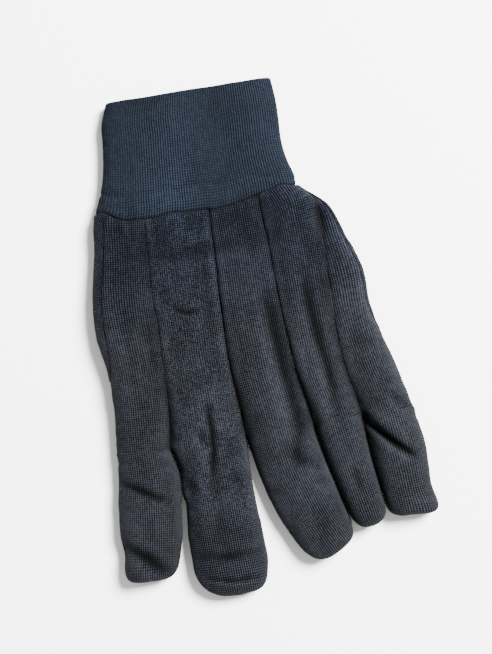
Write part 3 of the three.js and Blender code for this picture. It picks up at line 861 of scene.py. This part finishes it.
# The nap over them: fine fibres and round tufts. NOISE_RANGE is what most of a noise stays within.
NAP_SCALE = 2600.0
NAP_DETAIL = (1.0, 0.6)
TUFT_SCALE = 1750.0
TUFT_RISE = (0.66, 0.16)
CLOUD_SCALE = 34.0
CLOUD_DETAIL = (3.0, 0.55)
NOISE_RANGE = (0.3, 0.7)

# How much each of them lightens or darkens the cloth. EACH_TONE, a stitch's own, and
# PLAIN_CLOUD_TONE count less where there is more nap.
HEIGHT_TONE = 0.85
EACH_TONE = 0.26
NAP_TONE = 0.16
CLOUD_TONE = 0.03
PLAIN_CLOUD_TONE = 0.12

# Along the knit, the nap thins out over NAP_END, before the fingertips, and painted shade darkens the cloth
# there, which also keeps the thinning nap from lightening it.
# Hollows in the cloth get painted shade and its ridges painted light. Towards the cuff the cloth gets
# painted shade and a painted bluish reflection.
NAP_END = (164.0, 180.0)
TIP_NAP = 0.3
TIP_TONE = 0.25
HOLLOW_RANGE = (-1.0, 0.5)
HOLLOW_PAINTED_SHADE = (0.2, 1.3)
CUFF_SHADE_TO = 78.0
CUFF_REFLECTION_TINT = (0.78, 0.94, 1.28)

# Where the dark, middle and light colours lie on the tone, and the light's share in the middle one
COLOUR_PLACES = (0.18, 0.5, 0.88)
MIDDLE_LIGHT = 0.4

# The bump's depth in millimetres, the nap's part in it, and the other values of the cloth
BUMP_DEPTH = 0.4
NAP_BUMP = 0.3
COTTON = {"Roughness": 0.95, "Specular IOR Level": 0.05, "Sheen Weight": 0.012, "Sheen Roughness": 0.5}


# The stitches' height, and a random number for each stitch
def stitches(n, across, along, place):
    wander = n.maths("SUBTRACT", n.noise(place, WANDER_SCALE), 0.5)
    column_at = n.maths("DIVIDE", n.add(across, n.times(wander, WANDER)), WALE)
    away = n.maths("ABSOLUTE", n.maths("SUBTRACT", n.maths("FRACT", column_at), 0.5))
    leg = n.ramp(away, *LEG_RISE, 0.0, 1.0)
    leg = n.maths("SUBTRACT", leg, n.ramp(away, 0.0, GROOVE_WIDTH, GROOVE_DEPTH, 0.0))
    row_at = n.add(n.maths("DIVIDE", along, COURSE), n.times(away, LEG_LEAN))
    row = n.maths("COSINE", n.times(row_at, 2 * math.pi))
    height = n.times(leg, n.ramp(row, *ROW_RISE, ROW_LOW, 1.0))
    return height, n.random(n.maths("FLOOR", column_at), n.maths("FLOOR", row_at))


# Knitted cotton. fuzz is how far the nap hides the stitches short of the fingertips, and the last
# argument is how much painted shade darkens the cloth towards the cuff, with a painted bluish reflection.
def knitted(name, dark, light, fuzz, cuff_shade=0.0):
    n = Nodes(name)
    attribute = n.tree.nodes.new("ShaderNodeAttribute")
    attribute.attribute_name = "knit"
    across, along, raised = n.node("ShaderNodeSeparateXYZ", {0: attribute.outputs["Vector"]}).outputs
    place = n.tree.nodes.new("ShaderNodeTexCoord").outputs["Object"]

    stitch, each = stitches(n, across, along, place)
    nap = n.noise(place, NAP_SCALE, *NAP_DETAIL)
    tufts = n.ramp(n.cells(place, TUFT_SCALE), *TUFT_RISE, 0.0, 1.0)
    hidden = n.ramp(along, *NAP_END, fuzz, TIP_NAP * fuzz)
    seen = n.maths("SUBTRACT", 1.0, hidden)
    height = n.add(n.times(stitch, seen), n.times(tufts, hidden))

    cloud = CLOUD_TONE + PLAIN_CLOUD_TONE * (1 - fuzz)
    shade = n.add(n.times(height, HEIGHT_TONE), n.times(each, EACH_TONE * (1 - fuzz)))
    shade = n.add(shade, n.ramp(nap, *NOISE_RANGE, -NAP_TONE, NAP_TONE))
    shade = n.add(shade, n.ramp(n.noise(place, CLOUD_SCALE, *CLOUD_DETAIL), *NOISE_RANGE, -cloud, cloud))
    # Painted shade towards the cuff
    shade = n.add(shade, n.ramp(along, 0.0, CUFF_SHADE_TO, -cuff_shade, 0.0))
    # Painted shade at the fingertips, which also keeps the thinning nap from lightening them
    shade = n.add(shade, n.ramp(along, *NAP_END, 0.0, -TIP_TONE * fuzz))
    # Painted shade in the cloth's hollows and painted light on its ridges
    shade = n.times(shade, n.ramp(raised, *HOLLOW_RANGE, *HOLLOW_PAINTED_SHADE))
    middle = tuple((1 - MIDDLE_LIGHT) * a + MIDDLE_LIGHT * b for a, b in zip(dark, light))
    colour = n.colours(shade, list(zip(COLOUR_PLACES, (dark, middle, light))))
    # A painted bluish reflection towards the cuff
    if cuff_shade:
        colour = n.tinted(colour, [n.ramp(along, 0.0, CUFF_SHADE_TO, part, 1.0) for part in CUFF_REFLECTION_TINT])
    n.link(colour, n.shader.inputs["Base Color"])

    bumps = n.add(height, n.times(nap, NAP_BUMP))
    bump = n.node("ShaderNodeBump", {"Strength": 1.0, "Distance": BUMP_DEPTH * MM, "Height": bumps})
    n.link(bump.outputs[0], n.shader.inputs["Normal"])
    for socket, value in COTTON.items():
        n.shader.inputs[socket].default_value = value
    return n.material


JERSEY_DARK = (0.0003, 0.0004, 0.0005)
JERSEY_LIGHT = (0.0172, 0.0188, 0.0242)
NAPPED_LIGHT = (0.0246, 0.0275, 0.0366)
# The rib's colours are the cloth's own charcoal with part of a painted bluish reflection mixed in
RIB_DARK = (0.002, 0.0027, 0.004)
RIB_LIGHT = (0.0094, 0.0146, 0.0245)
jersey = knitted("jersey", JERSEY_DARK, JERSEY_LIGHT, fuzz=0.15, cuff_shade=0.24)
napped = knitted("jersey_napped", JERSEY_DARK, NAPPED_LIGHT, fuzz=0.5, cuff_shade=0.2)
rib_knit = knitted("rib_knit", RIB_DARK, RIB_LIGHT, fuzz=0.1)


# The pairs of quads that share an edge of a closed surface
def quads_beside(quads):
    ends = np.stack([quads, np.roll(quads, -1, axis=1)], axis=2).reshape(-1, 2)
    key = ends.min(1) * (quads.max() + 1) + ends.max(1)
    return (np.argsort(key, kind="stable").reshape(-1, 2) // 4).T


# Gives each island of fewer than ISLAND quads to the region beside it, so that every piece hangs
# together
ISLAND = 200


def without_islands(region, quads):
    a, b = quads_beside(quads)
    same = region[a] == region[b]
    label = np.arange(len(quads))
    old = None
    while old is None or (label != old).any():
        old = label.copy()
        low = np.minimum(label[a[same]], label[b[same]])
        np.minimum.at(label, a[same], low)
        np.minimum.at(label, b[same], low)
        label = label[label]
    island = np.bincount(label, minlength=len(quads))[label] < ISLAND
    a, b = np.concatenate([a, b]), np.concatenate([b, a])
    while island.any():
        give = island[a] & ~island[b]
        region[a[give]] = region[b[give]]
        island[a[give]] = False
    return region


# The plain hand: smoothed, with its digits moved back together. Gives also the webs' shares.
HAND_ROUNDS = 6


def plain_hand(co, edges):
    co = smoothed(co, edges, HAND_ROUNDS)
    apart = held_apart(co[:, 1])
    digit = sum(co[:, 0] > line_x(k, co[:, 1]) + (k - MIDDLE - 0.5) * apart for k in INNER_LINES)
    co[:, 0] -= (digit - MIDDLE) * apart
    co[:, 0] += closing(co[:, 0], co[:, 1], digit)
    web = web_share(co[:, 0], co[:, 1])[:, None]
    return co + web * (smoothed(co, edges, WEB_ROUNDS) - co), web


# Where the surface faces up enough for folds, and for seams: Z of its normal
FOLD_FACING = (0.05, 0.55)
SEAM_FACING = (-0.1, 0.4)

# The digits' walls, clear of the lines between them: the seam along them, and their waves, which
# run askew
WALL_CLEAR = (1.5, 4.0)
WAIST_DEPTH = 0.5
WAIST_WIDTH = 1.3
WAIST_START = (60.0, 90.0)
WALL_WAVE = 0.25
WALL_WAVE_LENGTHS = (5.5, 9.0)
WALL_WAVE_SEED = 41


# The hand with its folds, seams and waves pressed in
def pressed(co, quads):
    normals = normals_of(co, quads)
    facing = normals[:, 2]
    x, y, z = co.T
    back = smooth_step(facing, *FOLD_FACING)
    height = z + back * flattened(x, y, z)
    height = height + back * back_relief(x, y)
    height = height + smooth_step(facing, *SEAM_FACING) * (seam_relief(x, y) + wrist_relief(x, y))

    wall = 1 - np.abs(facing)
    free = smooth_step(beside_lines(x, y), *WALL_CLEAR)
    waist = np.exp(-(((z - SPLIT_HEIGHT) / WAIST_WIDTH) ** 2)) * smooth_step(-y, *WAIST_START) * free
    short, long = WALL_WAVE_LENGTHS
    wave = unevenness(x / short + y / long, y / short - x / long, WALL_WAVE_SEED)
    out = WALL_WAVE * wall * wave * free - WAIST_DEPTH * wall * waist
    return np.stack([x, y, height], axis=1) + normals * out[:, None]


# Which piece each quad belongs to
def regions_of(co, quads):
    x, y, z = co[quads].mean(1).T
    region = np.full(len(quads), PALM)
    for i in range(PALM):
        inside = (x > line_x(i, y)) & (x <= line_x(i + 1, y))
        region[inside & (z > SPLIT_HEIGHT)] = i
    region[y > wrist_y(x)] = ABOVE_WRIST
    return without_islands(region, quads)


# How near to a seam the pieces' borders are moved onto it, and how far the cloth's edges at the
# walls' seam stand back from it and sink
SNAP_REACH = 2 * VOXEL
WAIST_BACK = 0.12
WAIST_SINK = 0.5


# Moves the pieces' borders onto the seams. Gives how far each point would stand back and sink as a
# cloth's edge.
def snap_borders(co, quads, region):
    touches = np.zeros((len(co), PALM + 2), bool)
    for k in range(4):
        touches[quads[:, k], region] = True
    between = touches[:, :ABOVE_WRIST].sum(1) > 1
    at_wrist = touches[:, ABOVE_WRIST] & (touches.sum(1) > 1)
    lines = np.stack([line_x(k, co[:, 1]) for k in LINES], axis=1)
    nearest = np.abs(lines - co[:, :1]).argmin(1)
    target = np.take_along_axis(lines, nearest[:, None], 1)[:, 0]
    beside = np.abs(target - co[:, 0])
    above = np.abs(co[:, 2] - SPLIT_HEIGHT)
    on_line = between & (beside < above)
    on_waist = between & ~on_line & (above < SNAP_REACH)
    on_line &= beside < SNAP_REACH
    co[on_line, 0] = target[on_line]
    co[on_waist, 2] = SPLIT_HEIGHT
    co[at_wrist, 1] = wrist_y(co[at_wrist, 0])
    back = np.where(on_line, np.array(SEAM_BACK)[nearest], WAIST_BACK)
    sink = np.where(on_line, np.array(SEAM_SINK)[nearest], WAIST_SINK)
    return back, sink


# Rounds of smoothing whose distance from the surface tells ridges from hollows: ridges get painted light
# and hollows painted shade
HOLLOW_ROUNDS = 48


# The hand: one surface, pressed into its folds and seams, then parted along the seams
def make_hand():
    co, quads = hand_surface()
    edges = edges_of(quads)
    plain, web = plain_hand(co, edges)
    co = pressed(plain, quads)
    co += web * (smoothed(co, edges, FORK_ROUNDS) - co)
    region = regions_of(co, quads)
    back, sink = snap_borders(co, quads, region)
    co[:, 0], co[:, 1] = pulled(co[:, 0], co[:, 1])
    normals = normals_of(co, quads)
    raised = ((co - smoothed(co, edges, HOLLOW_ROUNDS)) * normals).sum(1)

    def make_patch(name, number, knit, material):
        points, faces, knit = shell(co, normals, quads[region == number], knit, back, sink)
        make_piece(name + "_cloth", points, faces, knit, material, name)

    for i, digit in enumerate(DIGITS):
        material = napped if digit["name"] == "ring" else jersey
        make_patch("back_" + digit["name"], i, strip_knit(i, plain, raised), material)
    make_patch("palm", PALM, palm_knit(plain, normals, raised), jersey)


# The cuff: a flat tube of fine ribs. First its fineness: points round it, rows outside, round the
# hem and inside. The ribs are counted on its girth.
CUFF_POINTS = 1008
CUFF_ROWS_OUT = 58
CUFF_HEM_STEPS = 6
CUFF_ROWS_IN = 24
CUFF_TOP_POWER = 3.4
CUFF_SOLE_POWER = 6.0
CUFF_GIRTH = 186.0
RIB_PITCH = 1.15
RIBS = round(CUFF_GIRTH / RIB_PITCH)
RIB_DEPTH = 0.32
RIB_POWER = 0.7

# How strongly the ribs show outside, on the hem and inside, how far the hem stands out, and the
# knit's length round it
RIBS_OUT = 1.0
RIBS_HEM = 0.6
RIBS_IN = -0.5
HEM_OUT = 0.9
HEM_RUN = 4.0

# Outside, the cuff's cloth rolls in at the seam and is drawn in along a stitch line, which comes
# nearer to the seam on the thumb's side. Between them it is gathered.
ROLL_DEPTH = 0.8
ROLL_WIDTH = 1.3
STITCH_AT = 9.5
STITCH_LOW = 2.5
STITCH_TURN = (20.0, 44.0)
STITCH_DEPTH = 0.55
STITCH_WIDTH = 1.0
GATHER_START = (0.0, 2.0)
GATHER_END = (STITCH_AT - 3.0, STITCH_AT + 1.0)
GATHERS = (0.35, (2.6, 1.0), (0.0, 0.5), 54)

# The cuff's waves on its top, on its top and sole, and along the mouth's edge, and the power with
# which the seam's and the mouth's lines fade along the cuff
CUFF_TOP_WAVES = (0.5, (17.0, 26.0), (8.1, 4.2), 51)
CUFF_WAVES = (0.28, (7.0, 12.0), (1.1, 2.2), 52)
MOUTH_WAVES = (0.35, (12.0, 1.0), (0.0, 0.5), 53)
END_POWER = 3


# The cuff's outline at a share of its length, as evenly spaced points. At the hand it reaches from
# the little finger's edge to the line between the index finger and the thumb.
def cuff_outline(at, inset):
    edges = strip_edges(0.0)
    grip = float(column(CUFF_ROWS, "grip", at))
    left = float(column(CUFF_ROWS, "left", at)) * CUFF_WIDTH * (1 - grip) + edges[0] * grip
    right = float(column(CUFF_ROWS, "right", at)) * CUFF_WIDTH * (1 - grip) + edges[PALM - 1] * grip
    height = float(column(CUFF_ROWS, "height", at)) * CUFF_HEIGHT
    equator = EQUATOR * height
    angle = np.linspace(0, 2 * math.pi, 4 * CUFF_POINTS + 1)
    c, s = np.cos(angle), np.sin(angle)
    p = np.where(s > 0, CUFF_TOP_POWER, CUFF_SOLE_POWER)
    x = (left + right) / 2 + np.sign(c) * np.abs(c) ** (2 / p) * ((right - left) / 2 - inset)
    z = equator + np.sign(s) * np.abs(s) ** (2 / p) * (np.where(s > 0, height - equator, equator) - inset)
    run = np.concatenate([[0], np.cumsum(np.hypot(np.diff(x), np.diff(z)))])
    even = np.linspace(0, run[-1], CUFF_POINTS, endpoint=False)
    return np.interp(even, run, x), np.interp(even, run, z)


# The cuff's rows from the hand out to its mouth, round the hem and back inside: Y, the outline's X
# and Z, how strongly the ribs show, and the place along the knit
def cuff_rows():
    rows = []
    for at in np.linspace(0, 1, CUFF_ROWS_OUT):
        rows.append((at * CUFF_LENGTH, *cuff_outline(at, 0.0), RIBS_OUT, at * CUFF_LENGTH))
    for turn in np.linspace(0, math.pi, CUFF_HEM_STEPS + 2)[1:-1]:
        outline = cuff_outline(1.0, CUFF_WALL / 2 * (1 - math.cos(turn)))
        rows.append((CUFF_LENGTH + HEM_OUT * math.sin(turn), *outline, RIBS_HEM, CUFF_LENGTH + turn))
    for at in np.linspace(1, 0, CUFF_ROWS_IN):
        knit_at = CUFF_LENGTH + HEM_RUN + (1 - at) * CUFF_LENGTH
        rows.append((at * CUFF_LENGTH, *cuff_outline(at, CUFF_WALL), RIBS_IN, knit_at))
    return rows


# How far the cuff's cloth is pushed out of its outline, where nz is Z of the outline's normal
def cuff_push(x, y, nz, rib, strength):
    gather = smooth_step(y, *GATHER_START) * (1 - smooth_step(y, *GATHER_END))
    push = strength * RIB_DEPTH * (rib - 1) + gather * waves(x, 0.0, GATHERS)
    push = push + waves(x, y, CUFF_TOP_WAVES) * np.clip(nz, 0, 1)
    push = push + waves(x, y, CUFF_WAVES) * np.abs(nz)
    if strength > 0:
        stitch = STITCH_AT + (STITCH_LOW - STITCH_AT) * smooth_step(x, *STITCH_TURN)
        push = push - ROLL_DEPTH * math.exp(-((y / ROLL_WIDTH) ** 2))
        push = push - STITCH_DEPTH * np.exp(-(((y - stitch) / STITCH_WIDTH) ** 2))
    return push


def make_cuff():
    turn = np.arange(CUFF_POINTS) / CUFF_POINTS
    rib = np.abs(np.cos(turn * RIBS * math.pi)) ** RIB_POWER
    points, knit = [], []
    for y, x, z, strength, knit_at in cuff_rows():
        dx = np.roll(x, -1) - np.roll(x, 1)
        dz = np.roll(z, -1) - np.roll(z, 1)
        size = np.hypot(dx, dz)
        nx, nz = dz / size, -dx / size
        push = cuff_push(x, y, nz, rib, strength)
        share = min(max(y / CUFF_LENGTH, 0), 1)
        line = (1 - share) ** END_POWER * wrist_y(x) + waves(x, 0.0, MOUTH_WAVES) * share ** END_POWER
        px, py = pulled(x + nx * push, y + line)
        points.append(np.stack([px, py, z + nz * push], axis=1))
        across = turn * RIBS * RIB_PITCH
        knit.append(np.stack([across, np.full(CUFF_POINTS, knit_at), np.zeros(CUFF_POINTS)], axis=1))
    index = np.arange(CUFF_POINTS)
    after = (index + 1) % CUFF_POINTS
    faces = []
    for r in range(len(points)):
        a = r * CUFF_POINTS
        b = (r + 1) % len(points) * CUFF_POINTS
        faces.append(np.stack([b + index, b + after, a + after, a + index], axis=1))
    make_piece(
        "cuff_cloth", np.concatenate(points), np.concatenate(faces), np.concatenate(knit),
        rib_knit, "cuff",
    )


make_hand()
make_cuff()

# The floor, the light and the camera, in metres
FLOOR_HALF = 4.0
FLOOR_COLOUR = (0.93, 0.93, 0.93)
FLOOR_ROUGHNESS = 0.8
KEY_PLACE = (1.15, 0.75, 1.65)
KEY_SIZE = 0.9
KEY_POWER = 400.0
ROOM_COLOUR = (1.0, 1.0, 1.0)
ROOM_LIGHT = 0.85
CAMERA_HEIGHT = 0.798
CAMERA_PLACE = (0.0004, 0.0051)
CAMERA_TURN = -9.0
LENS = 85.0
SENSOR_WIDTH = 36.0


def make_floor():
    mesh = bpy.data.meshes.new("floor")
    s = FLOOR_HALF
    mesh.from_pydata([(-s, -s, 0), (s, -s, 0), (s, s, 0), (-s, s, 0)], [], [(0, 1, 2, 3)])
    n = Nodes("floor")
    n.shader.inputs["Base Color"].default_value = (*FLOOR_COLOUR, 1.0)
    n.shader.inputs["Roughness"].default_value = FLOOR_ROUGHNESS
    mesh.materials.append(n.material)
    floor = add_object("floor", mesh)


def make_light():
    data = bpy.data.lights.new("key", "AREA")
    data.shape = "DISK"
    data.size = KEY_SIZE
    data.energy = KEY_POWER
    lamp = add_object("key", data)
    lamp.location = KEY_PLACE
    lamp.rotation_euler = (-Vector(KEY_PLACE)).to_track_quat("-Z", "Y").to_euler()
    world = bpy.data.worlds.new("room")
    world.use_nodes = True
    background = world.node_tree.nodes["Background"]
    background.inputs["Color"].default_value = (*ROOM_COLOUR, 1.0)
    background.inputs["Strength"].default_value = ROOM_LIGHT
    bpy.context.scene.world = world


def make_camera():
    data = bpy.data.cameras.new("camera")
    data.lens = LENS
    data.sensor_width = SENSOR_WIDTH
    camera = add_object("camera", data)
    camera.location = (*CAMERA_PLACE, CAMERA_HEIGHT)
    camera.rotation_euler = (0.0, 0.0, math.radians(CAMERA_TURN))
    bpy.context.scene.camera = camera


make_floor()
make_light()
make_camera()
